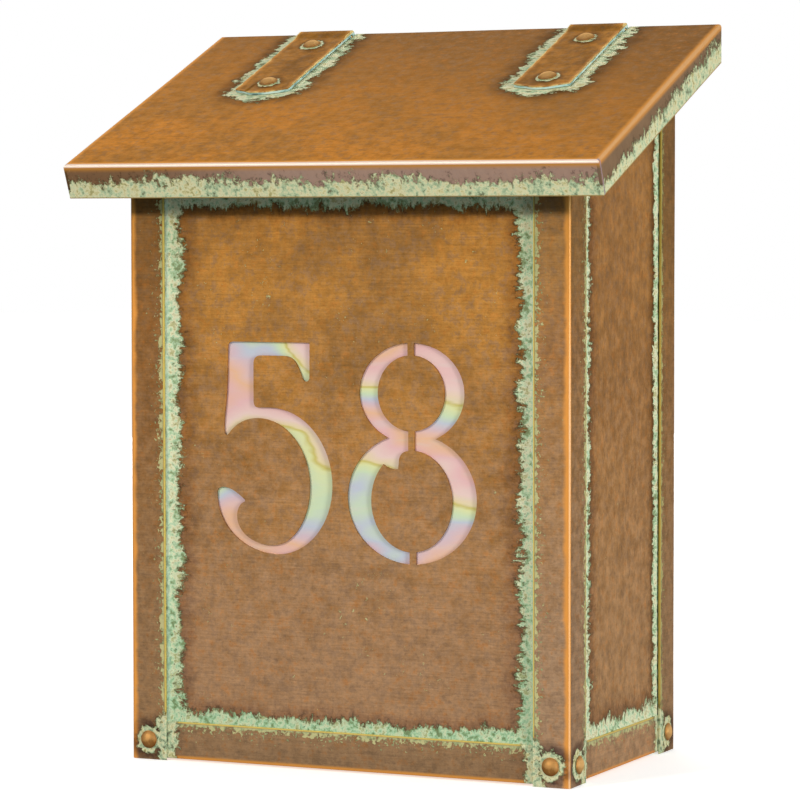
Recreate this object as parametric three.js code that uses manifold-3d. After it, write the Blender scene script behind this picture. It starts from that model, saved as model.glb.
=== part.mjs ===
// Wall mounted mailbox: a riveted sheet metal box with a sloped, hinged lid and stencilled
// numerals backed by a pane of art glass.
//
// Frame: X to the right seen from the front, +Y into the wall, +Z up. The origin lies on the
// rear face of the back plate. Inside the file the box is drawn with z = 0 at its bottom edge,
// and one outer group lowers it by originHeight. All sizes are millimetres.

import * as THREE from 'three';
import { mergeVertices } from 'three/addons/utils/BufferGeometryUtils.js';
import Module from 'manifold-3d';

const wasm = await Module();
wasm.setup();

// ---------------------------------------------------------------- driving dimensions

const bodyWidth = 254;              // over the corner posts
const bodyDepth = 153.7;            // wall to the front of the posts
const originHeight = 190;           // origin above the bottom edge

const lidWidth = 304.8;
const lidFrontY = -180.1;           // front top edge of the lid
const lidFrontZ = 318.2;
const lidRearY = -1.0;              // vertical cut next to the wall
const lidSlope = THREE.MathUtils.degToRad(23);
const lidFlange = 19.1;             // measured down from the sheet's top face
const lidSheet = 1.2;
const bendRadius = 1.6;
const lidRest = 0.6;                // closed lid above the box's rim

const angleSheet = 1.2;             // posts and rails
const panelSheet = 1.0;
const plateSheet = 2.0;
const plateInset = 1.6;             // back plate's side edges, inside the posts' faces
const gap = 0.3;                    // between pieces that lie on each other

const postFrontLeg = 20.6;
const postSideLeg = 22;
const railHeight = 20.1;
const railLift = 0.8;               // rails stop short of the posts' lower ends
const railFoot = 20;                // leg that runs under the floor
const topRailLow = 303;
const panFlange = 16;

const glassHalfWidth = 90;
const glassLow = 95;
const glassHigh = 240;
const glassSheet = 3;
const clipX = 52;
const clipWidth = 14;

const rivetShank = 1.8;
const rivetHole = rivetShank + gap;
const rivetTail = 3.2;
const rivetTailSheet = 1.1;
const cornerHead = { radius: 4.8, height: 2.3 };
const strapHead = { radius: 5.2, height: 2.4 };
const smallHead = { radius: 3.6, height: 1.5 };
const rivetInset = 10.6;            // from a post's corner on the front
const rivetSideInset = 11.5;        // from a post's corner on the sides
const rivetZ = 10.8;
const topRivetZ = 315;
const postRivetHeights = [40, 345]; // through the rear posts into the back plate

const hingeX = 82.6;                // centre of each hinge
const hingeY = -4.5;                // pin centre in front of the wall
const pinRadius = 1.2;
const boreRadius = 1.45;
const knuckleRadius = 3.9;          // outside of the strap's rolled end
const leafKnuckleRadius = 2.4;      // turns inside the rolled end
const leafKnuckleWidth = 23.2;
const rollReach = 1.6;              // how far the roll's open middle reaches behind the pin
const strapSheet = 1.7;
const strapWidth = 32.6;
const strapRise = gap + strapSheet; // strap's top face above the lid
const pinDepth = 2.7;               // pin centre below the strap's top face
const strapTipS = 98.4;             // distances from the lid's front edge, along the slope
const strapShoulderS = 104.4;
const strapFlankS = 101.8;
const strapTipX = 5.5;
const strapFlankX = 9.5;
const strapRivetS = [112.9, 171.3];
const knuckleGap = 0.4;
const leafSheet = 1.5;
const leafDrop = 31;
const leafRivetX = 9;
const leafRivetDrop = 20;
const swingClearance = 4.7;         // kept free around the pin for the lid's rear edge
const knuckleClearance = 0.5;

const keyholeX = 76.2;
const keyholeZ = 330;
const keyholeRadius = 5;
const keyholeSlot = { width: 5, length: 12 };
const screwHoleZ = 48;
const screwHoleRadius = 3.2;

// ---------------------------------------------------------------- derived places

const half = bodyWidth / 2;
const railSetback = angleSheet + gap;
const panelSetback = railSetback + angleSheet + gap;
const railX = half - railSetback;               // outer face of the side rails
const railY = -bodyDepth + railSetback;         // outer face of the front rails
const panelX = half - panelSetback;             // outer face of the side panels
const panelY = -bodyDepth + panelSetback;       // outer face of the front panel
const panelLow = railLift + angleSheet + gap;
const postRearY = -plateSheet - gap;            // rear face of the rear posts
const panelRearY = postRearY - angleSheet - gap;
const overHeight = 420;                         // drawn height before the slope is cut
const drill = [-5, 15];                         // reach of a rivet hole outside and inside a post
const throughBack = [-8, 2];                    // reach in y of a hole in the back plate

const sinSlope = Math.sin(lidSlope);
const cosSlope = Math.cos(lidSlope);
const pinH = strapRise - pinDepth;
const pinS = (hingeY - lidFrontY + pinH * sinSlope) / cosSlope;
const hingeZ = lidFrontZ + pinS * sinSlope + pinH * cosSlope;
const plateTop = hingeZ - swingClearance;

// ---------------------------------------------------------------- materials

const finish = (color, roughness, metalness) =>
  new THREE.MeshStandardMaterial({ color, roughness, metalness });
const agedCopper = finish(0xa9692c, 0.48, 0.85);
const lidCopper = finish(0xb87a33, 0.42, 0.85);
const edgeCopper = finish(0x96602c, 0.52, 0.85);
const rivetCopper = finish(0xc8773a, 0.4, 0.9);
const hingeCopper = finish(0x9a6a2c, 0.46, 0.85);
const plainCopper = finish(0x8a5a30, 0.55, 0.85);
const pinBrass = finish(0xa98b4a, 0.35, 0.95);
const artGlass = finish(0xe3c9c2, 0.12, 0.0);

// ---------------------------------------------------------------- solids

function solid(geometry) {
  geometry.deleteAttribute('normal');
  geometry.deleteAttribute('uv');
  const merged = mergeVertices(geometry, 1e-4);
  return new wasm.Manifold(new wasm.Mesh({
    numProp: 3,
    vertProperties: new Float32Array(merged.attributes.position.array),
    triVerts: new Uint32Array(merged.index.array),
  }));
}

function geometryOf(body) {
  const mesh = body.getMesh();
  const geometry = new THREE.BufferGeometry();
  geometry.setAttribute('position', new THREE.BufferAttribute(mesh.vertProperties, 3));
  geometry.setIndex(new THREE.BufferAttribute(mesh.triVerts, 1));
  geometry.computeVertexNormals();
  return geometry;
}

const join = (...bodies) => bodies.reduce((whole, body) => whole.add(body));
const cut = (body, ...tools) => tools.reduce((rest, tool) => rest.subtract(tool), body);

function boxGeometry(x, y, z) {
  const geometry = new THREE.BoxGeometry(x[1] - x[0], y[1] - y[0], z[1] - z[0]);
  return geometry.translate((x[0] + x[1]) / 2, (y[0] + y[1]) / 2, (z[0] + z[1]) / 2);
}

const box = (x, y, z) => solid(boxGeometry(x, y, z));

function extrude(shape, length, curveSegments = 12) {
  return new THREE.ExtrudeGeometry(shape, { depth: length, bevelEnabled: false, curveSegments });
}

// A drawing in (x, z) pushed through from y = low to y = high.
function throughY(shape, low, high, curveSegments) {
  return solid(extrude(shape, high - low, curveSegments).rotateX(Math.PI / 2).translate(0, high, 0));
}

// A drawing in (y, z) pushed from x = low to x = high.
function throughX(shape, low, high, curveSegments) {
  const geometry = extrude(shape, high - low, curveSegments);
  return solid(geometry.rotateX(Math.PI / 2).rotateZ(Math.PI / 2).translate(low, 0, 0));
}

function rodX(radius, x, y, z, segments = 20) {
  const geometry = new THREE.CylinderGeometry(radius, radius, x[1] - x[0], segments);
  return solid(geometry.rotateZ(Math.PI / 2).translate((x[0] + x[1]) / 2, y, z));
}

function rodY(radius, x, y, z, segments = 12) {
  const geometry = new THREE.CylinderGeometry(radius, radius, y[1] - y[0], segments);
  return solid(geometry.translate(x, (y[0] + y[1]) / 2, z));
}

function rodZ(radius, x, y, z, segments = 12) {
  const geometry = new THREE.CylinderGeometry(radius, radius, z[1] - z[0], segments);
  return solid(geometry.rotateX(Math.PI / 2).translate(x, y, (z[0] + z[1]) / 2));
}

// Section of a bent angle: its corner at (0, 0), one leg along +u and one along +v.
function anglePoints(legU, legV, sheet) {
  const points = [[legU, 0], [legU, sheet], [sheet, sheet], [sheet, legV], [0, legV]];
  const steps = 4;
  for (let i = 0; i <= steps; i += 1) {
    const turn = Math.PI + (i / steps) * (Math.PI / 2);
    points.push([bendRadius * (1 + Math.cos(turn)), bendRadius * (1 + Math.sin(turn))]);
  }
  return points;
}

function shapeOf(points, place) {
  return new THREE.Shape(points.map(([u, v]) => new THREE.Vector2(...place(u, v))));
}

// A domed rivet along +Y: its head sits above y = 0 and its shank reaches down through the grip.
function rivetGeometry(head, grip, tailRadius) {
  const sphere = (head.radius ** 2 + head.height ** 2) / (2 * head.height);
  const edge = Math.asin(head.radius / sphere);
  const end = tailRadius > rivetShank ? -grip - rivetTailSheet : -grip;
  const profile = [new THREE.Vector2(0, end)];
  if (tailRadius > rivetShank) {
    profile.push(new THREE.Vector2(tailRadius, end), new THREE.Vector2(tailRadius, -grip));
  }
  profile.push(new THREE.Vector2(rivetShank, -grip), new THREE.Vector2(rivetShank, 0));
  const steps = 3;
  for (let i = 0; i < steps; i += 1) {
    const a = edge * (1 - i / steps);
    profile.push(new THREE.Vector2(sphere * Math.sin(a), head.height - sphere * (1 - Math.cos(a))));
  }
  profile.push(new THREE.Vector2(0, head.height));
  return geometryOf(solid(new THREE.LatheGeometry(profile, 14)));
}

// ---------------------------------------------------------------- shared cutters

// Whatever of the box reaches into this slab would touch the closed lid.
const underLid = solid(
  boxGeometry([-lidWidth, lidWidth], [-40, 260], [-lidSheet - lidRest, 120])
    .rotateX(lidSlope)
    .translate(0, lidFrontY, lidFrontZ),
);
const swing = rodX(swingClearance, [-lidWidth, lidWidth], hingeY, hingeZ);

const trimTop = (body) => cut(body, underLid, swing);

const frontRivetPlaces = [-1, 1].map((side) => side * (half - rivetInset));
const sideRivetPlaces = [-bodyDepth + rivetSideInset, postRearY - rivetSideInset];

function frontRivetHoles(height) {
  const span = [-bodyDepth + drill[0], -bodyDepth + drill[1]];
  return frontRivetPlaces.map((x) => rodY(rivetHole, x, span, height));
}

function sideRivetHoles(side) {
  const span = side > 0 ? [half - drill[1], half - drill[0]] : [-half + drill[0], -half + drill[1]];
  return sideRivetPlaces.map((y) => rodX(rivetHole, span, y, rivetZ, 12));
}

// ---------------------------------------------------------------- assembly helpers

const mailbox = new THREE.Group();
mailbox.position.z = -originHeight;

const lid = new THREE.Group();
lid.position.set(0, lidFrontY, lidFrontZ);
lid.rotation.x = lidSlope;
mailbox.add(lid);

function place(parent, name, geometry, material) {
  const mesh = new THREE.Mesh(geometry, material);
  mesh.name = name;
  parent.add(mesh);
  return mesh;
}

const sides = [
  { name: 'left', sign: -1 },
  { name: 'right', sign: 1 },
];

// ---------------------------------------------------------------- corner posts

function frontPost(sign) {
  const points = anglePoints(postFrontLeg, postSideLeg, angleSheet);
  const section = shapeOf(points, (u, v) => [sign * (half - u), -bodyDepth + v]);
  return cut(trimTop(solid(extrude(section, overHeight))), ...frontRivetHoles(rivetZ),
    ...frontRivetHoles(topRivetZ), ...sideRivetHoles(sign));
}

function rearPost(sign) {
  const points = anglePoints(postFrontLeg, postSideLeg, angleSheet);
  const section = shapeOf(points, (u, v) => [sign * (half - u), postRearY - v]);
  const holes = postRivetHeights.map((z) => rodY(rivetHole, sign * (half - rivetInset), throughBack, z));
  return cut(trimTop(solid(extrude(section, overHeight))), ...sideRivetHoles(sign), ...holes);
}

for (const { name, sign } of sides) {
  place(mailbox, `front_${name}_post`, geometryOf(frontPost(sign)), edgeCopper);
  place(mailbox, `rear_${name}_post`, geometryOf(rearPost(sign)), edgeCopper);
}

// ---------------------------------------------------------------- rails

function frontBottomRail() {
  const end = half - panelSetback;
  const points = anglePoints(railFoot, railHeight, angleSheet);
  const section = shapeOf(points, (u, v) => [railY + u, railLift + v]);
  return cut(throughX(section, -end, end), ...frontRivetHoles(rivetZ));
}

function frontTopRail() {
  const end = half - panelSetback;
  const strip = box([-end, end], [railY, railY + angleSheet], [topRailLow, overHeight]);
  return cut(trimTop(strip), ...frontRivetHoles(topRivetZ));
}

function sideBottomRail(sign) {
  const points = anglePoints(railFoot, railHeight, angleSheet);
  const section = shapeOf(points, (u, v) => [sign * (railX - u), railLift + v]);
  const bar = throughY(section, railY, panelRearY);
  const footX = [0, sign * (railX - angleSheet)].sort((a, b) => a - b);
  const frontFoot = box(footX, [railY - 1, railY + railFoot + gap], [0, railLift + angleSheet + 0.1]);
  return cut(bar, frontFoot, ...sideRivetHoles(sign));
}

place(mailbox, 'bottom_front_rail', geometryOf(frontBottomRail()), edgeCopper);
place(mailbox, 'top_front_rail', geometryOf(frontTopRail()), edgeCopper);
for (const { name, sign } of sides) {
  place(mailbox, `bottom_${name}_rail`, geometryOf(sideBottomRail(sign)), edgeCopper);
}

// ---------------------------------------------------------------- numerals

// The opening of the numeral 5: flag, stem and bowl in one stroke.
function numeralFive() {
  const s = new THREE.Shape();
  s.moveTo(-66.7, 224.8);
  s.lineTo(-22.6, 224.7);
  s.quadraticCurveTo(-21.5, 224.7, -21.5, 223.6);
  s.lineTo(-21.6, 206.6);
  s.bezierCurveTo(-21.7, 203.9, -25.0, 203.4, -25.9, 206.4);
  s.bezierCurveTo(-28.6, 213.2, -30.2, 217.7, -37.0, 217.7);
  s.lineTo(-50.0, 217.7);
  s.quadraticCurveTo(-54.5, 217.7, -54.5, 213.2);
  s.lineTo(-54.5, 193.6);
  s.quadraticCurveTo(-54.5, 190.1, -51.4, 190.2);
  s.lineTo(-45.0, 190.3);
  s.absellipse(-45.0, 150, 36.7, 40.3, Math.PI / 2, 0, true);
  s.absellipse(-41.0, 150, 32.7, 37.0, 0, -Math.PI / 2, true);
  s.absellipse(-41.0, 144, 35.4, 31.0, -Math.PI / 2, -Math.PI, true);
  s.bezierCurveTo(-76.8, 146.2, -75.2, 147.7, -72.6, 147.7);
  s.bezierCurveTo(-68.3, 147.7, -64.0, 144.6, -60.1, 141.4);
  s.quadraticCurveTo(-59.3, 140.5, -60.4, 140.0);
  s.bezierCurveTo(-62.6, 139.2, -64.5, 136.5, -64.5, 132.5);
  s.absellipse(-44.0, 132.5, 20.5, 15.0, Math.PI, 1.5 * Math.PI, false);
  s.absellipse(-44.0, 149, 22.4, 31.5, -Math.PI / 2, 0, false);
  s.absellipse(-52.0, 149, 30.4, 35.6, 0, Math.PI / 2, false);
  s.bezierCurveTo(-58.5, 184.6, -65.0, 182.0, -69.4, 176.0);
  s.quadraticCurveTo(-70.9, 174.3, -71.8, 176.4);
  s.bezierCurveTo(-73.2, 180.6, -70.0, 192.0, -70.0, 210.0);
  s.lineTo(-69.7, 221.8);
  s.quadraticCurveTo(-69.7, 224.8, -66.7, 224.8);
  return s;
}

// The opening of the numeral 8: two rings, a small spur at the waist, and three narrow bridges
// that hold the islands in place.
function numeralEight(low, high) {
  const disc = (x, z, halfWidth, halfHeight) => {
    const ring = new THREE.Shape();
    ring.absellipse(x, z, halfWidth, halfHeight, 0, 2 * Math.PI, false);
    return throughY(ring, low, high, 44);
  };
  const spur = new THREE.Shape();
  spur.moveTo(34.7, 171.5);
  spur.lineTo(35.3, 169.5);
  spur.quadraticCurveTo(30.1, 169.0, 29.9, 163.5);
  spur.lineTo(29.5, 160.0);
  spur.quadraticCurveTo(25.7, 159.2, 21.1, 162.0);
  spur.lineTo(22.2, 168.0);
  const outside = join(disc(37.2, 199.3, 29.9, 26.1), disc(37.2, 144.5, 36.8, 33.9));
  const strokes = cut(outside, disc(36.9, 199.3, 19.0, 19.7), disc(37.1, 143.3, 23.0, 26.4));
  const bridges = [[36.7, 199.3, 230], [37.1, 160, 190], [37.8, 100, 130]].map(
    ([x, bottom, top]) => box([x - 1.8, x + 1.8], [low - 1, high + 1], [bottom, top]),
  );
  return cut(join(strokes, throughY(spur, low, high, 8)), ...bridges);
}

// ---------------------------------------------------------------- panels, floor and back

function frontPanel() {
  const end = panelX - panelSheet - gap;
  const sheet = box([-end, end], [panelY, panelY + panelSheet], [panelLow, overHeight]);
  const through = [panelY - 2, panelY + 3];
  return cut(trimTop(sheet), throughY(numeralFive(), ...through, 8), numeralEight(...through),
    ...frontRivetHoles(rivetZ), ...frontRivetHoles(topRivetZ));
}

function sidePanel(sign) {
  const x = [sign * panelX, sign * (panelX - panelSheet)].sort((a, b) => a - b);
  return cut(trimTop(box(x, [panelY, panelRearY], [panelLow, overHeight])), ...sideRivetHoles(sign));
}

function floorPan() {
  const endX = panelX - panelSheet - gap;
  const endY = panelY + panelSheet + gap;
  const middle = half - postFrontLeg - gap;
  const rearY = -plateSheet - gap;
  const top = panelLow + panFlange;
  const outside = join(box([-endX, endX], [endY, panelRearY], [panelLow, top]),
    box([-middle, middle], [endY, rearY], [panelLow, top]));
  const insideX = [-endX + panelSheet, endX - panelSheet];
  const inside = join(
    box(insideX, [endY + panelSheet, panelRearY - panelSheet], [panelLow + panelSheet, top + 1]),
    box([-middle + panelSheet, middle - panelSheet], [endY + panelSheet, rearY - panelSheet],
      [panelLow + panelSheet, top + 1]),
  );
  return cut(outside, inside, ...frontRivetHoles(rivetZ), ...sideRivetHoles(-1), ...sideRivetHoles(1));
}

function keyhole(x) {
  const slotTop = keyholeZ + keyholeSlot.length;
  return [
    rodY(keyholeRadius, x, throughBack, keyholeZ, 24),
    box([x - keyholeSlot.width / 2, x + keyholeSlot.width / 2], throughBack, [keyholeZ, slotTop]),
    rodY(keyholeSlot.width / 2, x, throughBack, slotTop, 20),
  ];
}

function backPlate() {
  const halfWidth = half - plateInset;
  const sheet = box([-halfWidth, halfWidth], [-plateSheet, 0], [0, plateTop]);
  const tools = [];
  for (const { sign } of sides) {
    tools.push(...keyhole(sign * keyholeX));
    tools.push(rodY(screwHoleRadius, sign * keyholeX, throughBack, screwHoleZ, 24));
    for (const z of postRivetHeights) {
      tools.push(rodY(rivetHole, sign * (half - rivetInset), throughBack, z));
    }
    for (const offset of [-leafRivetX, leafRivetX]) {
      tools.push(rodY(rivetHole, sign * hingeX + offset, throughBack, hingeZ - leafRivetDrop));
    }
  }
  return cut(sheet, ...tools);
}

place(mailbox, 'front_panel', geometryOf(frontPanel()), agedCopper);
for (const { name, sign } of sides) {
  place(mailbox, `${name}_side_panel`, geometryOf(sidePanel(sign)), agedCopper);
}
place(mailbox, 'floor_pan', geometryOf(floorPan()), plainCopper);
place(mailbox, 'back_plate', geometryOf(backPlate()), plainCopper);

// ---------------------------------------------------------------- glass and its clips

const glassFront = panelY + panelSheet + gap;
const glassRear = glassFront + glassSheet;
place(mailbox, 'glass_pane', geometryOf(box([-glassHalfWidth, glassHalfWidth],
  [glassFront, glassRear], [glassLow, glassHigh])), artGlass);

// A Z-shaped clip: a foot on the panel, a riser past the pane's edge and a lip behind the pane.
function glassClip(edgeZ, away) {
  const sheet = 1.1;
  const foot = 12;
  const lip = 6;
  const lipRear = glassRear + gap + sheet;
  const outline = [
    [glassFront, foot], [glassFront + sheet, foot], [glassFront + sheet, gap + sheet],
    [lipRear, gap + sheet], [lipRear, -lip], [glassRear + gap, -lip],
    [glassRear + gap, gap], [glassFront, gap],
  ];
  return shapeOf(outline, (y, reach) => [y, edgeZ + away * reach]);
}

for (const { name, sign } of sides) {
  const span = [sign * clipX - clipWidth / 2, sign * clipX + clipWidth / 2];
  place(mailbox, `glass_clip_upper_${name}`,
    geometryOf(throughX(glassClip(glassHigh, 1), ...span)), plainCopper);
  place(mailbox, `glass_clip_lower_${name}`,
    geometryOf(throughX(glassClip(glassLow, -1), ...span)), plainCopper);
}

// ---------------------------------------------------------------- rivets of the box

// Through post, rail, panel and the floor pan's flange, which lie on each other.
const cornerGrip = panelSetback + 2 * (panelSheet + gap) + gap;
const topGrip = panelSetback + panelSheet + 2 * gap;
const cornerRivet = rivetGeometry(cornerHead, cornerGrip + gap, rivetTail);
const topRivet = rivetGeometry(cornerHead, topGrip + gap, rivetTail);
const headTowards = {
  front: new THREE.Euler(Math.PI, 0, 0),
  left: new THREE.Euler(0, 0, Math.PI / 2),
  right: new THREE.Euler(0, 0, -Math.PI / 2),
};

function placeRivet(name, geometry, side, x, y, z) {
  const rivet = place(mailbox, name, geometry, rivetCopper);
  rivet.rotation.copy(headTowards[side]);
  rivet.position.set(x, y, z);
}

for (const { name, sign } of sides) {
  const x = sign * (half - rivetInset);
  placeRivet(`corner_rivet_front_${name}`, cornerRivet, 'front', x, -bodyDepth - gap, rivetZ);
  placeRivet(`top_rivet_front_${name}`, topRivet, 'front', x, -bodyDepth - gap, topRivetZ);
  const faceX = sign * (half + gap);
  placeRivet(`corner_rivet_${name}_front`, cornerRivet, name, faceX, sideRivetPlaces[0], rivetZ);
  placeRivet(`corner_rivet_${name}_rear`, cornerRivet, name, faceX, sideRivetPlaces[1], rivetZ);
}

// Rivets with flush rear ends: rear posts to back plate, and hinge leaves to back plate.
const flushEnd = -0.1;
const postRivetHeadY = postRearY - angleSheet - gap;
const postRivet = rivetGeometry(smallHead, flushEnd - postRivetHeadY, 0);
for (const { name, sign } of sides) {
  postRivetHeights.forEach((z, level) => {
    const row = level === 0 ? 'lower' : 'upper';
    placeRivet(`post_rivet_${row}_${name}`, postRivet, 'front', sign * (half - rivetInset),
      postRivetHeadY, z);
  });
}

// ---------------------------------------------------------------- hinge leaves and pins

const leafRear = -plateSheet - gap;
const leafFront = leafRear - leafSheet;

// A plate whose narrow upper middle is rolled round the pin. Its shoulders stay clear of the
// strap's rolled end.
function hingeLeaf(x) {
  const plate = box([x - strapWidth / 2, x + strapWidth / 2], [leafFront, leafRear],
    [hingeZ - leafDrop, hingeZ]);
  const ends = [x - leafKnuckleWidth / 2, x + leafKnuckleWidth / 2];
  const knuckle = rodX(leafKnuckleRadius, ends, hingeY, hingeZ);
  const clearRadius = knuckleRadius + knuckleClearance;
  const shoulders = [[x - strapWidth, ends[0]], [ends[1], x + strapWidth]].map(
    (span) => rodX(clearRadius, span, hingeY, hingeZ),
  );
  const bore = rodX(boreRadius, [x - strapWidth, x + strapWidth], hingeY, hingeZ);
  const holes = [-leafRivetX, leafRivetX].map(
    (offset) => rodY(rivetHole, x + offset, throughBack, hingeZ - leafRivetDrop),
  );
  return cut(join(plate, knuckle), ...shoulders, bore, ...holes);
}

const leafRivetHeadY = leafFront - gap;
const leafRivet = rivetGeometry(smallHead, flushEnd - leafRivetHeadY, 0);
for (const { name, sign } of sides) {
  const x = sign * hingeX;
  place(mailbox, `hinge_leaf_${name}`, geometryOf(hingeLeaf(x)), hingeCopper);
  place(mailbox, `hinge_pin_${name}`, geometryOf(rodX(pinRadius,
    [x - strapWidth / 2, x + strapWidth / 2], hingeY, hingeZ)), pinBrass);
  [-leafRivetX, leafRivetX].forEach((offset, index) => {
    placeRivet(`leaf_rivet_${name}_${index + 1}`, leafRivet, 'front', x + offset,
      leafRivetHeadY, hingeZ - leafRivetDrop);
  });
}

// ---------------------------------------------------------------- lid
// The lid is drawn in its own group: x across, y (here s) up the slope from the front edge,
// z (here h) square to the sheet with h = 0 on its top face.

const intoLid = (geometry) => geometry.translate(0, -lidFrontY, -lidFrontZ).rotateX(-lidSlope);

// Section of a tray's outside: a flat top at 0 with rounded shoulders, open at -drop.
function hood(halfSpan, drop) {
  const s = new THREE.Shape();
  s.moveTo(-halfSpan, -drop);
  s.lineTo(halfSpan, -drop);
  s.lineTo(halfSpan, -bendRadius);
  s.absarc(halfSpan - bendRadius, -bendRadius, bendRadius, 0, Math.PI / 2, false);
  s.lineTo(-halfSpan + bendRadius, 0);
  s.absarc(-halfSpan + bendRadius, -bendRadius, bendRadius, Math.PI / 2, Math.PI, false);
  return s;
}

const lidLength = 220;              // drawn length before the rear cut

function lidShell() {
  const across = throughY(hood(lidWidth / 2, lidFlange), 0, lidLength, 4);
  const along = throughX(hood(lidLength, lidFlange), -lidWidth, lidWidth, 4);
  const slab = across.intersect(along.translate([0, lidLength, 0]));
  const inside = box([-lidWidth / 2 + lidSheet, lidWidth / 2 - lidSheet],
    [lidSheet, lidLength + 1], [-lidFlange - 1, -lidSheet]);
  const behind = solid(intoLid(boxGeometry([-lidWidth, lidWidth], [lidRearY, 300], [0, 600])));
  const notchFront = pinS - knuckleRadius - knuckleClearance;
  const notches = sides.map(({ sign }) => box(
    [sign * hingeX - strapWidth / 2 - 0.5, sign * hingeX + strapWidth / 2 + 0.5],
    [notchFront, lidLength], [-lidFlange, 5],
  ));
  const holes = sides.flatMap(({ sign }) => strapRivetS.map(
    (s) => rodZ(rivetHole, sign * hingeX, s, [-5, 5]),
  ));
  return cut(slab, inside, behind, ...notches, ...holes);
}

// The strap lies on the lid. Its front end is clipped and its rear end is rolled round the pin.
// The middle of the roll is hollow and open below, where the leaf's knuckle turns.
function strap(x) {
  const w = strapWidth / 2;
  const outline = [[-w, strapShoulderS], [-strapFlankX, strapFlankS], [-strapTipX, strapTipS],
    [strapTipX, strapTipS], [strapFlankX, strapFlankS], [w, strapShoulderS], [w, pinS], [-w, pinS]];
  const shape = shapeOf(outline, (u, s) => [x + u, s]);
  const plate = solid(extrude(shape, strapSheet).translate(0, 0, gap));
  const roll = rodX(knuckleRadius, [x - w, x + w], pinS, pinH, 28);
  const bore = rodX(boreRadius, [x - strapWidth, x + strapWidth], pinS, pinH);
  const middle = leafKnuckleWidth / 2 + knuckleGap;
  const window = [x - middle, x + middle];
  const reach = knuckleRadius + 1;
  const hollow = rodX(leafKnuckleRadius + gap, window, pinS, pinH);
  const below = box(window, [pinS - reach, pinS + reach], [pinH - reach, gap]);
  const behind = box(window, [pinS + rollReach, pinS + reach], [pinH - reach, pinH + reach]);
  const holes = strapRivetS.map((s) => rodZ(rivetHole, x, s, [-5, 5]));
  return cut(join(plate, roll), bore, hollow, below, behind, ...holes);
}

place(lid, 'lid_shell', geometryOf(lidShell()), lidCopper);
const strapGrip = strapRise + gap + lidSheet + gap;
const strapRivet = rivetGeometry(strapHead, strapGrip, rivetTail);
for (const { name, sign } of sides) {
  place(lid, `hinge_strap_${name}`, geometryOf(strap(sign * hingeX)), hingeCopper);
  strapRivetS.forEach((s, index) => {
    const row = index === 0 ? 'front' : 'rear';
    const rivet = place(lid, `strap_rivet_${name}_${row}`, strapRivet, rivetCopper);
    rivet.rotation.x = Math.PI / 2;
    rivet.position.set(sign * hingeX, s, strapRise + gap);
  });
}

const group = new THREE.Group();
group.name = 'wall_mailbox';
group.add(mailbox);

export default group;
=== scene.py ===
"""Looks of the wall mounted mailbox: aged copper sheet with verdigris along its seams.

Everything is in metres in the part's frame: X to the right, +Y into the wall, Z up. Inside the
materials and the lists of sizes the unit is the millimetre.
"""

import math
from functools import reduce

import bmesh
import bpy
from mathutils import Matrix, Vector, noise


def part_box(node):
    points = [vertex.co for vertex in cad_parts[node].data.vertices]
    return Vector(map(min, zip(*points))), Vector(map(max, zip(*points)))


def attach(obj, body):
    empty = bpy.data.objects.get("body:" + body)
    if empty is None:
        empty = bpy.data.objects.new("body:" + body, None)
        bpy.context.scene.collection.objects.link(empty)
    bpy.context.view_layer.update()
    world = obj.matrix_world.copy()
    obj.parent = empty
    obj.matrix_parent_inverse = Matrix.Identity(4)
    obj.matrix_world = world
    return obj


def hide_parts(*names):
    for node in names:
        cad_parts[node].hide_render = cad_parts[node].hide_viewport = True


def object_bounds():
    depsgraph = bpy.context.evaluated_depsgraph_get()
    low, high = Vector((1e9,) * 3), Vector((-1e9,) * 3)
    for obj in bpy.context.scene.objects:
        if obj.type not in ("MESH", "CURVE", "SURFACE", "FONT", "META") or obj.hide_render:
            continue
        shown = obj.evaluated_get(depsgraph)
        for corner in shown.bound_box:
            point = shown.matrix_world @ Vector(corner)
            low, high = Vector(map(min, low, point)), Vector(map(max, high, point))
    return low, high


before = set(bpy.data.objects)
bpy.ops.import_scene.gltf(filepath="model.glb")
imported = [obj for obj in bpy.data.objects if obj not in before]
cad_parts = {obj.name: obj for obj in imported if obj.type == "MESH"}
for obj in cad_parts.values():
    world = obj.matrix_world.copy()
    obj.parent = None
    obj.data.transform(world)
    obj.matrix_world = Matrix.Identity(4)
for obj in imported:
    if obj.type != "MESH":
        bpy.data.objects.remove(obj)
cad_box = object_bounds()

MM = 0.001
scene = bpy.context.scene

# -------- places, from the frame

LID_SLOPE = math.radians(23)
LID_FLANGE = 19.1 * MM  # depth of the lid's front and side flanges
LID_SHEET = 1.2 * MM
LID_SEAM = 0.3 * MM  # gap between the flanges at a corner
STRAP_TOP = 2.0 * MM  # upper face of a strap's plate, off the lid
STRAP_TIP = 4 * MM  # half the width of a strap's blunt tip
CLIP_SLOPE = 0.4  # how fast its clipped corners run back beside it

lid_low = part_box("lid_shell")[0]
LID_FRAME = Matrix.Translation((0, lid_low.y, lid_low.z + LID_FLANGE * math.cos(LID_SLOPE))) @ \
    Matrix.Rotation(LID_SLOPE, 4, "X")
INTO_LID = LID_FRAME.inverted()


def lid_box(node):
    """Lowest and highest corner of a CAD node in the lid's own frame: x, up the slope, off it."""
    points = [INTO_LID @ vertex.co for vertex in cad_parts[node].data.vertices]
    low = Vector(min(point[axis] for point in points) for axis in range(3))
    high = Vector(max(point[axis] for point in points) for axis in range(3))
    return low, high


front_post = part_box("front_right_post")
rear_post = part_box("rear_right_post")
bottom_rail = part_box("bottom_front_rail")
top_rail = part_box("top_front_rail")
front_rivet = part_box("corner_rivet_front_right")
side_rivets = [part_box("corner_rivet_right_front"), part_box("corner_rivet_right_rear")]
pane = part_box("glass_pane")
strap_low, strap_high = lid_box("hinge_strap_right")
lid_top_low, lid_top_high = lid_box("lid_shell")

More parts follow.
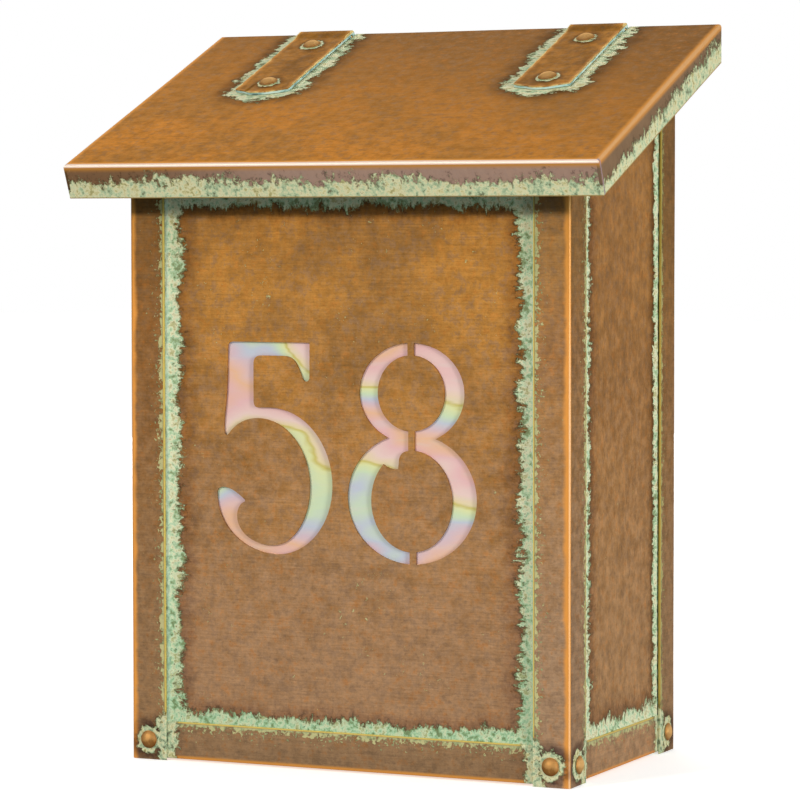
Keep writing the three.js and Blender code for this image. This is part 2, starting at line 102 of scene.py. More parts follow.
FRONT_LEG = 20.6 * MM  # width of a post's front leg
BODY_X = front_post[1].x  # outer face of the posts at the sides
BODY_Y = front_post[0].y  # outer face of the posts at the front
POST_X = BODY_X - FRONT_LEG  # inner edge of a post's front leg
POST_Y = front_post[1].y  # inner edge of a post's side leg
REAR_POST_Y = rear_post[0].y
RAIL_Z = bottom_rail[1].z
TOP_RAIL_Z = top_rail[0].z


# -------- material nodes

def rgb(code):
    """A colour such as "b5772b" as the linear values that a shader takes."""
    channels = [int(code[i:i + 2], 16) / 255 for i in (0, 2, 4)]
    return [c / 12.92 if c < 0.0405 else ((c + 0.055) / 1.055) ** 2.4 for c in channels] + [1.0]


class NodeTree:
    def __init__(self, owner):
        """Owner is a material or a world. It starts without nodes."""
        owner.use_nodes = True
        self.nodes = owner.node_tree.nodes
        self.links = owner.node_tree.links
        self.nodes.clear()

    def add(self, kind, values=None, **settings):
        """A new node. Values go to its sockets: each is a number or another node's output."""
        node = self.nodes.new("ShaderNode" + kind)
        for key, value in settings.items():
            setattr(node, key, value)
        for key, value in (values or {}).items():
            if isinstance(value, bpy.types.NodeSocket):
                self.links.new(value, node.inputs[key])
            else:
                node.inputs[key].default_value = value
        return node


def tones(*codes):
    return [rgb(code) for code in codes]


class Paint(NodeTree):
    """Short calls that add nodes to one material and give their outputs."""

    def __init__(self, name, on_lid=False):
        self.material = bpy.data.materials.new(name)
        super().__init__(self.material)
        place = self.add("TexCoord").outputs["Object"]
        if on_lid:
            into_lid = {0: place, "Location": LID_FRAME.translation, "Rotation": (LID_SLOPE, 0, 0)}
            place = self.add("Mapping", into_lid, vector_type="TEXTURE").outputs[0]
        self.place = self.times(place, (1 / MM, 1 / MM, 1 / MM))

    def math(self, operation, *values):
        return self.add("Math", dict(enumerate(values)), operation=operation).outputs[0]

    def plus(self, first, second):
        return self.math("ADD", first, second)

    def minus(self, first, second):
        return self.math("SUBTRACT", first, second)

    def product(self, first, second):
        return self.math("MULTIPLY", first, second)

    def scaled(self, value, factor, offset):
        """The value times a factor, plus an offset."""
        return self.math("MULTIPLY_ADD", value, factor, offset)

    def gap(self, first, second):
        return self.math("ABSOLUTE", self.minus(first, second))

    def smallest(self, *values, rounding=0):
        return reduce(lambda least, value: self.math("SMOOTH_MIN", least, value, rounding), values)

    def largest(self, *values):
        return reduce(lambda most, value: self.math("MAXIMUM", most, value), values)

    def times(self, vector, factors):
        return self.add("VectorMath", {0: vector, 1: factors}, operation="MULTIPLY").outputs[0]

    def axes(self, vector=None):
        return self.add("SeparateXYZ", {0: self.place if vector is None else vector}).outputs[:]

    def mirrored(self):
        """The place with its x made positive, for masks that are alike on both sides."""
        x, y, z = self.axes()
        return self.add("CombineXYZ", {0: self.math("ABSOLUTE", x), 1: y, 2: z}).outputs[0]

    def away(self, vector, point):
        """Distance from a point given in metres, in millimetres."""
        target = tuple(value / MM for value in point)
        return self.add("VectorMath", {0: vector, 1: target}, operation="DISTANCE").outputs["Value"]

    def noise(self, size, detail=4.0, roughness=0.55, distortion=0.0, stretch=None, shift=None):
        vector = self.place
        if shift is not None:
            vector = self.add("VectorMath", {0: vector, 1: (shift, shift, shift)}).outputs[0]
        if stretch is not None:
            vector = self.times(vector, stretch)
        values = {"Vector": vector, "Scale": 1 / size, "Detail": detail, "Roughness": roughness,
                  "Distortion": distortion}
        return self.add("TexNoise", values).outputs[0]

    def gradient(self, value, stops):
        """A colour that follows a value through stops of (place from 0 to 1, colour)."""
        node = self.add("ValToRGB", {0: value})
        elements = node.color_ramp.elements
        elements[0].position, elements[0].color = stops[0][0], rgb(stops[0][1])
        elements[1].position, elements[1].color = stops[-1][0], rgb(stops[-1][1])
        for place, code in stops[1:-1]:
            elements.new(place).color = rgb(code)
        return node.outputs[0]

    def ramp(self, value, start, end, low=0.0, high=1.0, kind="SMOOTHSTEP"):
        """Runs from low at the start to high at the end."""
        values = dict(enumerate((value, start, end, low, high)))
        return self.add("MapRange", values, interpolation_type=kind).outputs[0]

    def mix(self, factor, first, second, kind="MIX"):
        values = {0: factor, 6: first, 7: second}
        return self.add("Mix", values, data_type="RGBA", blend_type=kind).outputs[2]

    def level(self, factor, first, second):
        return self.add("Mix", {0: factor, 2: first, 3: second}, data_type="FLOAT").outputs[0]

    def shade(self, colour, factor):
        """The colour times a grey value."""
        grey = self.add("CombineColor", dict.fromkeys(range(3), factor)).outputs[0]
        return self.mix(1.0, colour, grey, "MULTIPLY")

    def finish(self, colour, metallic, roughness, height, **constants):
        """The shader, with the height in millimetres as bump. Constants are its other sockets."""
        bump = self.add("Bump", {"Height": height, "Distance": MM})
        values = {"Base Color": colour, "Metallic": metallic, "Roughness": roughness,
                  "Normal": bump.outputs[0]}
        values.update({key.replace("_", " "): value for key, value in constants.items()})
        shader = self.add("BsdfPrincipled", values)
        self.add("OutputMaterial", {"Surface": shader.outputs[0]})
        return self.material


# -------- aged copper and verdigris

BRASS = rgb("d6c066")
RUBBED_ORANGE_AND_HIGHLIGHT = rgb("eda04a")
GREYED = rgb("8f7560")
REDDENED = rgb("c27a33")
POST_BEND_HIGHLIGHT = rgb("e8cda6")
SAGE = rgb("98a676")
PALE_MINT = rgb("c2e2cc")
PIT = rgb("3d3a2a")
FLECK = rgb("c2bd86")
LID_EDGE_RUBBED_AND_HIGHLIGHT = rgb("e0983a")
LID_SIDE_BEND_HIGHLIGHT = rgb("e2ac70")
LID_FRONT_BEND_HIGHLIGHT = rgb("fbe4d2")
FLANGE_STAIN = rgb("c2a696")
FLANGE_RIM = rgb("b99a5c")
FLANGE_SEAM = rgb("bda5b0")
STRAP_WORN = rgb("c98a3a")
STRAP_RIM = rgb("ead08a")

# Filters, which multiply the metal's colour.
BURN = (0.52, 0.42, 0.42, 1)
# The next filter is painted shade below the lid on the front panel, and a darker tone on the front
# rails and the rear posts; the one after it is the lid's painted shadow.
SHADE_AND_DARKER_TONE = (0.8, 0.76, 0.66, 1)
SHADED = (0.42, 0.52, 0.58, 1)
OUTLINE = (0.2, 0.17, 0.2, 1)
SOOT = (0.3, 0.28, 0.38, 1)
SCORCH = (0.26, 0.2, 0.2, 1)
LOW_CRUST = (0.74, 0.86, 0.81, 1)
LEFT_POST = (0.77, 0.71, 0.58, 1)
POST_SIDE = (0.82, 0.86, 0.93, 1)
POST_UNDER_LID_SHADE = (0.76, 0.78, 0.72, 1)
RIVET_LOWER_SIDE = (0.48, 0.37, 0.25, 1)
LEFT_FLANGE = (0.52, 0.43, 0.27, 1)
SIDE_FLANGE = (0.47, 0.47, 0.38, 1)

# Colours of verdigris, by the value of its pattern.
CRUST = [(0.3, "87966c"), (0.38, "a2bf92"), (0.45, "bfdab6"), (0.51, "d9e4bc"),
         (0.58, "e8e6c2"), (0.67, "bfbd8a")]
LIP_CRUST = [(0.3, "77795a"), (0.38, "a3bb96"), (0.46, "c8d4a9"), (0.54, "dfdcb2"),
             (0.62, "cfca94"), (0.68, "aba570")]
CREAMY_CRUST = [(0.3, "8b8d68"), (0.38, "b4cda6"), (0.46, "d8e4ba"), (0.54, "efeac6"),
                (0.62, "e0dbaa"), (0.68, "bcb680")]
STRAP_CRUST = [(0.3, "4a5a54"), (0.39, "7c9f98"), (0.48, "b0d6cf"), (0.6, "cde2d8")]

# Brushed streaks are long along the axes with small numbers.
HORIZONTAL_GRAIN = (0.04, 0.04, 1.0)
VERTICAL_GRAIN = (1.0, 1.0, 0.04)
LID_GRAIN = (0.04, 1.0, 1.0)
NO_GRAIN = (1, 1, 1)

METALLIC = 0.72
CRUST_ROUGHNESS = 0.82
SHEET = 1.4  # a little more than a sheet's thickness
TWO_SHEETS = 3.2  # the same for two sheets, one on the other
NO_CRUST = -9.0  # a crust depth that lies well outside of it


class Metal:
    """The layers of one sheet, from bare metal up to its crust."""

    def __init__(self, paint, trio, grain, painted_light_drift=None):
        """Bare sheet in a trio of tones, with clouds, mottling, brushed streaks and dark threads. An
        optional value from 0 to 1 leads to the third tone, a painted gradient of light and shade across
        the sheet."""
        self.paint = paint
        clouds = paint.noise(48, detail=3)
        mottle = paint.noise(7, detail=7, roughness=0.7)
        streaks = paint.noise(0.9, detail=5, roughness=0.6, stretch=grain)
        cross = paint.noise(0.8, roughness=0.6, shift=37, stretch=[1.04 - g for g in grain])
        hue = paint.noise(4, detail=6, roughness=0.7, shift=61)
        threads = paint.noise(1.2, roughness=0.7, shift=31, stretch=[g ** 0.3 for g in grain])
        colour = paint.mix(paint.ramp(clouds, 0.38, 0.62), trio[0], trio[1])
        if painted_light_drift is not None:
            wander = paint.plus(painted_light_drift, paint.scaled(mottle, 0.8, -0.4))
            colour = paint.mix(paint.ramp(wander, 0.2, 0.95), colour, trio[2])
        colour = paint.mix(paint.ramp(hue, 0.48, 0.64, 0.0, 0.42), colour, GREYED)
        colour = paint.mix(paint.ramp(hue, 0.48, 0.32, 0.0, 0.42), colour, REDDENED)
        shade = paint.ramp(mottle, 0.3, 0.7, 0.8, 1.16)
        for pattern, *limits in ((streaks, 0.25, 0.75, 0.9, 1.1), (cross, 0.25, 0.75, 0.97, 1.03),
                                 (threads, 0.32, 0.52, 0.82, 1.01)):
            shade = paint.product(shade, paint.ramp(pattern, *limits))
        self.colour = paint.shade(colour, shade)
        self.metallic = METALLIC
        self.roughness = paint.ramp(mottle, 0.3, 0.7, 0.52, 0.42)
        self.height = paint.scaled(streaks, 0.035, paint.product(mottle, 0.05))

    def darken(self, mask, tone, strength=0.9):
        """Multiplies the metal's colour by a filter, as heat and fumes do beside verdigris, and as
        painted shade does under the lid.
        """
        factor = self.paint.product(mask, strength)
        self.colour = self.paint.mix(factor, self.colour, tone, "MULTIPLY")

    def polish_and_highlight(self, mask, colour, roughness=0.3, metallic=METALLIC):
        """Metal rubbed bright, and painted highlights, as on a bend."""
        self.colour = self.paint.mix(mask, self.colour, colour)
        self.roughness = self.paint.level(mask, self.roughness, roughness)
        self.metallic = self.paint.level(mask, self.metallic, metallic)

    def cover(self, mask, colour, thickness):
        """A lumpy crust that hides the metal and stands about thickness above it."""
        paint = self.paint
        self.colour = paint.mix(mask, self.colour, colour)
        self.metallic = paint.level(mask, self.metallic, 0.0)
        self.roughness = paint.level(mask, self.roughness, CRUST_ROUGHNESS)
        lumps = paint.noise(1.1, detail=5, roughness=0.7, shift=5)
        crust = paint.product(mask, paint.scaled(lumps, thickness * 2, thickness / 2))
        self.height = paint.plus(self.height, crust)

    def finish(self):
        return self.paint.finish(self.colour, self.metallic, self.roughness, self.height,
                                 Specular_IOR_Level=0.25, Specular_Tint=(1.0, 0.7, 0.45, 1.0))


def strands(paint, shift, stretch=None):
    """Fine growth of the crust. A stretch draws it out into strands."""
    return paint.noise(3.1, detail=7, roughness=0.61, distortion=0.35, shift=shift, stretch=stretch)


def crust_depth(paint, distance, reach, shift, growth=None, ragged=3.0):
    """How deep a point lies in verdigris that grew from a seam: 1 at the seam, 0 at the crust's
    ragged edge, and less outside it. Reach is the crust's mean width."""
    if growth is None:
        growth = strands(paint, shift)
    broad = paint.noise(16, detail=2, shift=shift + 9)
    crumbs = paint.noise(0.9, detail=3, roughness=0.6, shift=shift + 2)
    wander = paint.scaled(growth, ragged, paint.product(broad, 1.6))
    wander = paint.scaled(crumbs, 0.8, paint.minus(wander, ragged / 2 + 0.2))
    return paint.minus(wander, paint.math("DIVIDE", distance, reach))


def verdigris(paint, stops, stretch=None, spread=1.1, pitting=0.75):
    """Colour of the crust: small patches in the colours of the stops, with dark pits."""
    patches = paint.noise(2.8, detail=5, roughness=0.64, shift=17, stretch=stretch)
    pools = paint.noise(9, detail=3, shift=23)
    pits = paint.noise(1.3, roughness=0.62, shift=41, stretch=stretch)
    place = paint.scaled(patches, spread, 0.2 - spread / 2)
    place = paint.scaled(pools, 0.6, place)
    return paint.mix(paint.ramp(pits, 0.38, 0.31, 0.0, pitting), paint.gradient(place, stops), PIT)


def add_crust(metal, depth, stops=CRUST, burn=0.62, thickness=0.25, **pattern):
    """Verdigris that is sage at its edge, with a broken dark outline and burnt metal beyond it."""
    paint = metal.paint
    metal.darken(paint.ramp(depth, -1.6, 0.0), BURN, burn)
    breaks = paint.noise(3.3, shift=47)
    outline = paint.product(paint.ramp(depth, -0.42, -0.04), paint.ramp(breaks, 0.45, 0.6))
    metal.darken(outline, OUTLINE, 0.7)
    colour = verdigris(paint, stops, **pattern)
    colour = paint.mix(paint.ramp(depth, 0.32, 0.0, 0.0, 0.85), colour, SAGE)
    metal.cover(paint.ramp(depth, -0.13, 0.17), colour, thickness)


def add_flecks(metal, shift, stretch=None, limit=0.665):
    """Small separate strokes of crust."""
    paint = metal.paint
    fine = paint.noise(1.9, detail=5, roughness=0.6, distortion=0.8, shift=shift, stretch=stretch)
    broad = paint.noise(30, detail=2, shift=shift + 3)
    where = paint.scaled(fine, 0.72, paint.product(broad, 0.28))
    metal.cover(paint.ramp(where, limit, limit + 0.03), FLECK, thickness=0.08)


def add_edge_growth(metal, edge, reach, shift):
    """A sheared edge: a thin line of bare brass, and a ragged crust with strokes beyond it."""
    paint = metal.paint
    metal.polish_and_highlight(paint.ramp(edge, 0.95, 0.5), BRASS, 0.5, 0.35)
    growth = strands(paint, shift)
    depth = crust_depth(paint, edge, reach, shift, growth, ragged=7.0)
    far = paint.ramp(edge, 0, reach * 6, 0.52, 0.71, "LINEAR")
    strokes = paint.noise(1.6, detail=5, roughness=0.6, distortion=0.6, shift=shift + 4)
    crust = paint.ramp(depth, 0.0, 0.1)
    mask = paint.largest(crust, paint.ramp(paint.minus(strokes, far), 0, 0.03))
    mask = paint.product(mask, paint.ramp(edge, 0.8, 1.1))
    metal.cover(mask, paint.mix(paint.ramp(growth, 0.42, 0.6), SAGE, FLECK), thickness=0.1)


# -------- materials of the box

# Where a sheet leads to the third tone of its trio, that tone is painted light: low on the box a
# pinker, lighter reflection of the floor, and on the lid a darker tone at the back and right, where
# less lamp light falls.
PANEL_TONES = tones("ba843f", "9e723d", "b38b65")
SIDE_TONES = tones("ad7e48", "9f7344", "b08a62")
POST_TONES = tones("ae804c", "a17548", "b59270")
LID_TONES = tones("cc872a", "b47b2e", "835a2b")
STRAP_TONES = tones("ae792f", "9e6c29", "8e6638")
RIVET_TONES = tones("b98448", "a8753c", "8d6f3e")
PLAIN_TONES = tones("94683c", "835a34", "7a5c42")


def mm(value):
    return value / MM


def box_paint(name, trio, grain=HORIZONTAL_GRAIN):
    """Bare sheet whose tones change from the top of the box to its bottom, towards a third tone that is
    painted light: on the front, sides, posts and rails a pinker, lighter reflection of the floor.
    """
    paint = Paint(name)
    floor_reflection = paint.ramp(paint.axes()[2], mm(TOP_RAIL_Z), mm(RAIL_Z), kind="LINEAR")
    return paint, Metal(paint, trio, grain, floor_reflection)


def add_seam_crust(metal, across, upright, reach, shift, ragged, **look):
    """Verdigris along a panel's seams, in strands that run sideways from the posts and upwards
    from the rail. Gives how deep each point lies in it."""
    paint = metal.paint
    seams = paint.smallest(across, upright, rounding=4)
    sideways = strands(paint, shift, (0.5, 0.5, 1.2))
    upwards = strands(paint, shift, (1.2, 1.2, 0.5))
    growth = paint.level(paint.ramp(paint.minus(across, upright), -2, 2), sideways, upwards)
    depth = crust_depth(paint, seams, reach, shift, growth, ragged)
    add_crust(metal, depth, **look)
    return depth


def front_panel_material():
    paint, metal = box_paint("copper_front_panel", PANEL_TONES)
    x, _, z = paint.axes(paint.mirrored())
    across = paint.minus(mm(POST_X), x)
    under_lid = paint.minus(mm(TOP_RAIL_Z), z)
    rise = paint.product(paint.minus(z, mm(RAIL_Z)), 1.35)
    upright = paint.smallest(rise, paint.product(under_lid, 1.15))
    add_flecks(metal, 3, limit=0.643)
    depth = add_seam_crust(metal, across, upright, reach=8.3, shift=1, ragged=2.2)
    metal.cover(paint.ramp(across, 2.0, 1.0, 0.0, 0.5), PALE_MINT, thickness=0.02)
    low_down = paint.ramp(z, mm(RAIL_Z) + 130, mm(RAIL_Z))
    metal.darken(paint.product(paint.ramp(depth, -0.1, 0.1), low_down), LOW_CRUST)
    # Painted shade under the lid: a soft darkening over the 60 mm below it, then the painted shadow of
    # its lip.
    metal.darken(paint.ramp(under_lid, 60, 15), SHADE_AND_DARKER_TONE, 0.55)
    metal.darken(paint.ramp(under_lid, 15, 6), SHADED)
    return metal.finish()


def side_panel_material():
    paint, metal = box_paint("copper_side_panels", SIDE_TONES, VERTICAL_GRAIN)
    _, y, z = paint.axes()
    from_front = paint.minus(y, mm(POST_Y) + 4.2)
    from_rear = paint.product(paint.minus(mm(REAR_POST_Y) + 0.8, y), 1.6)
    across = paint.smallest(from_front, from_rear)
    upright = paint.minus(z, mm(RAIL_Z))
    add_flecks(metal, 8, stretch=(1.3, 1.3, 0.6))
    add_seam_crust(metal, across, upright, reach=7.6, shift=13, ragged=2.4, burn=0.85)
    return metal.finish()


def add_corner_crust(metal):
    """Verdigris at the lower corners: round each rivet and along the joints of rails and posts."""
    paint = metal.paint
    place = paint.mirrored()
    x, y, z = paint.axes(place)
    centres = [(low + high) / 2 for low, high in [front_rivet] + side_rivets]
    centres[0].y = BODY_Y
    centres[1].x = centres[2].x = BODY_X
    nearest = paint.smallest(*[paint.away(place, centre) for centre in centres])
    from_rivet = paint.minus(nearest, mm(front_rivet[1].x - front_rivet[0].x) / 2)
    blotches = paint.noise(8, shift=53)
    sooty = paint.product(paint.ramp(from_rivet, 10, 4), paint.ramp(blotches, 0.4, 0.54, 0.4, 1.0))
    metal.darken(sooty, SOOT)
    on_front = paint.math("LESS_THAN", y, mm(BODY_Y) + TWO_SHEETS)
    front_joint = paint.gap(x, mm(POST_X))
    side_joints = [paint.gap(y, mm(edge)) for edge in (POST_Y, REAR_POST_Y)]
    joint = paint.level(on_front, paint.smallest(*side_joints), front_joint)
    above = paint.largest(paint.minus(z, mm(RAIL_Z)), 0.0)
    joint = paint.scaled(above, 1.2, joint)
    relative = paint.smallest(paint.math("DIVIDE", from_rivet, 3.0), paint.math("DIVIDE", joint, 5.5))
    add_crust(metal, crust_depth(paint, relative, 1.0, 61), LIP_CRUST, burn=0.3)


def post_material():
    """Corner angles: rubbed orange metal and a painted highlight along the bend, verdigris along the
    inner edges.
    """
    paint, metal = box_paint("copper_posts", POST_TONES)
    leftwards = paint.ramp(paint.axes()[0], mm(BODY_X) / 2, -mm(BODY_X) / 2)
    metal.darken(leftwards, LEFT_POST)
    x, y, z = paint.axes(paint.mirrored())
    from_side = paint.minus(mm(BODY_X), x)
    from_front = paint.minus(y, mm(BODY_Y))
    on_front = paint.math("LESS_THAN", y, mm(BODY_Y) + SHEET)
    wander = paint.noise(14, shift=12)
    # Rubbed orange metal beside the bend, which is partly a painted highlight: the soft orange edge of
    # the bend's highlight.
    ragged_edge_distance = paint.scaled(wander, -5, paint.plus(from_side, 2.5))
    metal.polish_and_highlight(paint.product(on_front, paint.ramp(ragged_edge_distance, 4.6, 1.7)), RUBBED_ORANGE_AND_HIGHLIGHT, 0.45, 0.4)
    # Painted highlight: a pale cream, barely metallic line on the rounded corner.
    metal.polish_and_highlight(paint.ramp(paint.plus(from_side, from_front), 1.45, 0.9), POST_BEND_HIGHLIGHT, 0.6, 0.1)
    metal.darken(paint.minus(1.0, on_front), POST_SIDE, 1.0)
    side_edge = paint.largest(paint.minus(mm(POST_Y), y), paint.minus(y, mm(REAR_POST_Y)))
    edge = paint.level(on_front, side_edge, paint.minus(x, mm(POST_X)))
    add_edge_growth(metal, edge, 2.0, 71)
    under_lid = paint.minus(mm(TOP_RAIL_Z), z)
    # Painted shade on the posts under the lid: a soft darkening below it, and on the front legs the
    # painted shadow of its lip.
    metal.darken(paint.ramp(under_lid, 75, 15), POST_UNDER_LID_SHADE)
    metal.darken(paint.product(on_front, paint.ramp(under_lid, 16, 7)), SHADED)
    # The rear posts are a darker tone.
    metal.darken(paint.ramp(y, mm(REAR_POST_Y) - 2, mm(REAR_POST_Y)), SHADE_AND_DARKER_TONE)
    add_corner_crust(metal)
    return metal.finish()


def rail_material():
    """Bottom and top angles: growth along their inner edge, and rubbed orange with a painted highlight
    on the bend at the bottom.
    """
    paint, metal = box_paint("copper_rails", POST_TONES)
    _, y, z = paint.axes()
    # The front rails are a darker tone than the side rails.
    metal.darken(paint.math("LESS_THAN", y, mm(BODY_Y) + TWO_SHEETS), SHADE_AND_DARKER_TONE)
    # Rubbed orange along the bottom bend, partly a painted highlight.
    metal.polish_and_highlight(paint.ramp(paint.minus(z, mm(bottom_rail[0].z)), 2.6, 1.0), RUBBED_ORANGE_AND_HIGHLIGHT, 0.4, 0.5)
    below = paint.minus(mm(RAIL_Z), z)
    above = paint.minus(z, mm(TOP_RAIL_Z))
    edge = paint.level(paint.math("GREATER_THAN", z, 0.0), below, above)
    add_edge_growth(metal, edge, 2.4, 81)
    add_corner_crust(metal)
    return metal.finish()


def plain_material():
    """The back, floor, clips and hinge leaves, which are hardly weathered."""
    metal = box_paint("copper_plain", PLAIN_TONES)[1]
    add_flecks(metal, 91, limit=0.645)
    return metal.finish()


def rivet_material(name, tone, lower_darkening):
    """Domes rubbed bright on top, in the given tone; in the lighter copy that tone is partly painted
    light. The object's own Z runs along the rivet, with 0 at its seat, and its Y points about upwards
    on upright sheets. The last argument is how much darker the lower side is made."""
    paint = Paint(name)
    metal = Metal(paint, RIVET_TONES, NO_GRAIN)
    _, y, z = paint.axes()
    metal.roughness = paint.ramp(paint.noise(2, shift=5), 0.3, 0.7, 0.62, 0.5)
    metal.polish_and_highlight(paint.ramp(z, 0.4, 2.0, 0.1, 0.75), tone, 0.55, 0.5)
    # The lower side is darker, in blotches.
    lower_side = paint.scaled(paint.noise(3.0, detail=5, roughness=0.65, shift=6), 9.0, y)
    metal.darken(paint.ramp(lower_side, 5.2, 2.2), RIVET_LOWER_SIDE, lower_darkening)
    base = crust_depth(paint, paint.largest(z, 0.0), 0.35, 16)
    metal.cover(paint.ramp(base, 0.0, 0.3), FLECK, thickness=0.06)
    return metal.finish()


def pin_material():
    paint = Paint("brass_pins")
    drawn = paint.noise(0.5, detail=3, stretch=(0.02, 1, 1))
    tarnish = paint.noise(5, detail=5, roughness=0.65)
    colour = paint.mix(paint.ramp(tarnish, 0.4, 0.65), rgb("b89a57"), rgb("8c7038"))
    colour = paint.shade(colour, paint.ramp(drawn, 0.3, 0.7, 0.92, 1.06))
    roughness = paint.ramp(tarnish, 0.3, 0.7, 0.28, 0.45)
    return paint.finish(colour, 0.95, roughness, paint.product(drawn, 0.01))


def glass_material():
    """Opaque art glass: soft, mostly level bands of pastel colours under a glossy skin."""
    paint = Paint("art_glass")
    x, _, z = paint.axes()
    swirl = paint.noise(60, detail=2, distortion=0.3, stretch=(0.6, 1, 1))
    curl = paint.noise(13, detail=3, distortion=0.6, stretch=(0.35, 1, 1), shift=4)
    wave = paint.scaled(swirl, 130, paint.scaled(x, 0.12, z))
    wave = paint.scaled(curl, 14, wave)
    phase = paint.math("FRACT", paint.math("DIVIDE", wave, 62))
    colour = paint.gradient(phase, [
        (0.0, "edbd98"), (0.1, "e8c0b4"), (0.2, "d8c0c8"), (0.3, "c4ccd8"), (0.41, "cfe2bc"),
        (0.51, "e2e6aa"), (0.555, "cfc268"), (0.59, "ead8aa"), (0.7, "eed0c6"), (0.86, "eabcba"),
        (1.0, "edbd98"),
    ])
    wisps = paint.noise(4.5, detail=3, stretch=(0.2, 1, 1), shift=14)
    colour = paint.mix(paint.ramp(wisps, 0.5, 0.75, 0.0, 0.3), colour, rgb("dcd6cc"))
    roughness = paint.ramp(curl, 0.3, 0.7, 0.16, 0.26)
    height = paint.product(curl, 0.1)
    return paint.finish(colour, 0.0, roughness, height, Coat_Weight=0.3, Coat_Roughness=0.1)


# -------- materials of the lid
# Their coordinates are the lid's own: x across, y up the slope, z off the sheet.

def strap_distance(paint):
    """Distance over the lid from the outline of the nearest strap, below 0 on the strap."""
    x, s, _ = paint.axes(paint.mirrored())
    centre = mm(strap_low.x + strap_high.x) / 2
    half = mm(strap_high.x - strap_low.x) / 2
    off = paint.gap(x, centre)
    clipped = paint.product(paint.largest(paint.minus(off, mm(STRAP_TIP)), 0.0), CLIP_SLOPE)
    beside = paint.minus(off, half)
    before = paint.minus(paint.plus(clipped, mm(strap_low.y)), s)
    sides = [paint.math("POWER", paint.largest(part, 0.0), 2.0) for part in (beside, before)]
    outside = paint.math("SQRT", paint.plus(*sides))
    inside = paint.math("MINIMUM", paint.largest(beside, before), 0.0)
    return paint.plus(outside, inside)


def lid_material():
    paint = Paint("copper_lid", on_lid=True)
    x, s, h = paint.axes(paint.mirrored())
    width = mm(lid_top_high.x)
    backwards = paint.ramp(s, 0, mm(lid_top_high.y), kind="LINEAR")
    rightwards = paint.ramp(paint.axes()[0], -width, width, kind="LINEAR")
    # Painted light and shade: the lid is lighter at the front left and darker towards the back and the
    # right, where less lamp light falls.
    painted_light_drift = paint.scaled(rightwards, 0.25, paint.scaled(backwards, 0.6, 0.08))
    metal = Metal(paint, LID_TONES, LID_GRAIN, painted_light_drift)
    depth = paint.product(h, -1.0)
    to_front = paint.plus(s, depth)
    to_side = paint.plus(paint.minus(width, x), depth)
    on_side = paint.math("LESS_THAN", paint.minus(width, x), SHEET)
    on_flange = paint.ramp(depth, 0.8, 3.2)
    metal.colour = paint.mix(paint.product(on_flange, 0.85), metal.colour, FLANGE_STAIN)
    darker_end = paint.product(on_flange, paint.ramp(rightwards, 0.45, 0.1))
    metal.darken(darker_end, LEFT_FLANGE, 0.95)
    metal.darken(paint.product(on_flange, on_side), SIDE_FLANGE, 0.95)
    # Rubbed orange along the lid's top edges, partly a painted highlight, then painted highlights, pale
    # and barely metallic, on the rounded side and front bends.
    metal.polish_and_highlight(paint.ramp(paint.smallest(to_front, to_side), 4.4, 1.0, 0.0, 0.85), LID_EDGE_RUBBED_AND_HIGHLIGHT)
    metal.polish_and_highlight(paint.ramp(to_side, 1.9, 1.0), LID_SIDE_BEND_HIGHLIGHT, 0.6, 0.2)
    metal.polish_and_highlight(paint.ramp(to_front, 1.4, 0.7), LID_FRONT_BEND_HIGHLIGHT, 0.5, 0.3)

    halo = strap_distance(paint)
    on_top = paint.math("LESS_THAN", depth, 1.0)
    scorched = paint.scaled(paint.noise(11, detail=3, shift=33), 12, halo)
    metal.darken(paint.product(on_top, paint.ramp(scorched, 26, 10)), SCORCH, 0.92)
    ring = crust_depth(paint, halo, 7.0, 35, strands(paint, 35, (0.55, 0.8, 1.0)))
    ring = paint.level(on_top, NO_CRUST, ring)
    add_crust(metal, ring, CREAMY_CRUST, burn=0.0, stretch=(0.5, 1.1, 1.0))

    rise = paint.minus(mm(LID_FLANGE), depth)
    front_reach = paint.scaled(rightwards, -2.0, 11.0)
    side_reach = paint.scaled(backwards, 7.0, 6.0)
    reach = paint.level(on_side, front_reach, side_reach)
    lip = crust_depth(paint, rise, reach, 37, strands(paint, 37, (1.0, 1.0, 0.8)), ragged=2.4)
    lip = paint.level(paint.ramp(depth, 1.5, 3.0), NO_CRUST, lip)
    add_crust(metal, lip, LIP_CRUST, burn=0.2, spread=0.9, pitting=0.5)
    metal.polish_and_highlight(paint.ramp(rise, 0.8, 0.3), FLANGE_RIM)
    seam = paint.gap(s, mm(LID_SHEET + LID_SEAM / 2))
    metal.polish_and_highlight(paint.product(on_side, paint.ramp(seam, 0.75, 0.4)), FLANGE_SEAM, 0.5)
    return metal.finish()


